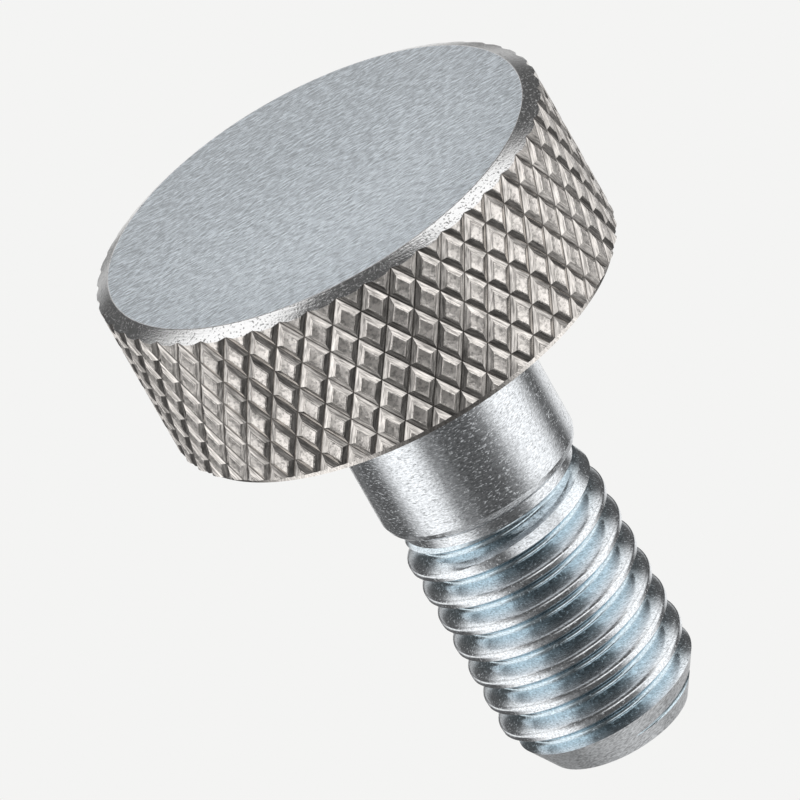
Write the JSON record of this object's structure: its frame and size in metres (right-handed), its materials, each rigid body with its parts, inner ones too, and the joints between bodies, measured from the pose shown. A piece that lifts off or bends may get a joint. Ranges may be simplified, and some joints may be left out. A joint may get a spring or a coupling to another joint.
{
  "type": "thumb screw",
  "caption": "Knurled thumb screw with a flat round head, a plain shoulder and a right-handed metric thread with a bevelled tip.",
  "frame": {"origin": "centre of the flat face of the head, on which the screw stands", "axes": "+Z along the screw's axis, from the head's face to the tip of the thread; +X and +Y are any pair across it"},
  "size_m": [0.0182, 0.0182, 0.025],
  "materials": {
    "bright_steel": "bright zinc plated steel, turned and knurled"
  },
  "bodies": {
    "root": {"thumb_screw": "bright_steel"}
  },
  "joints": []
}
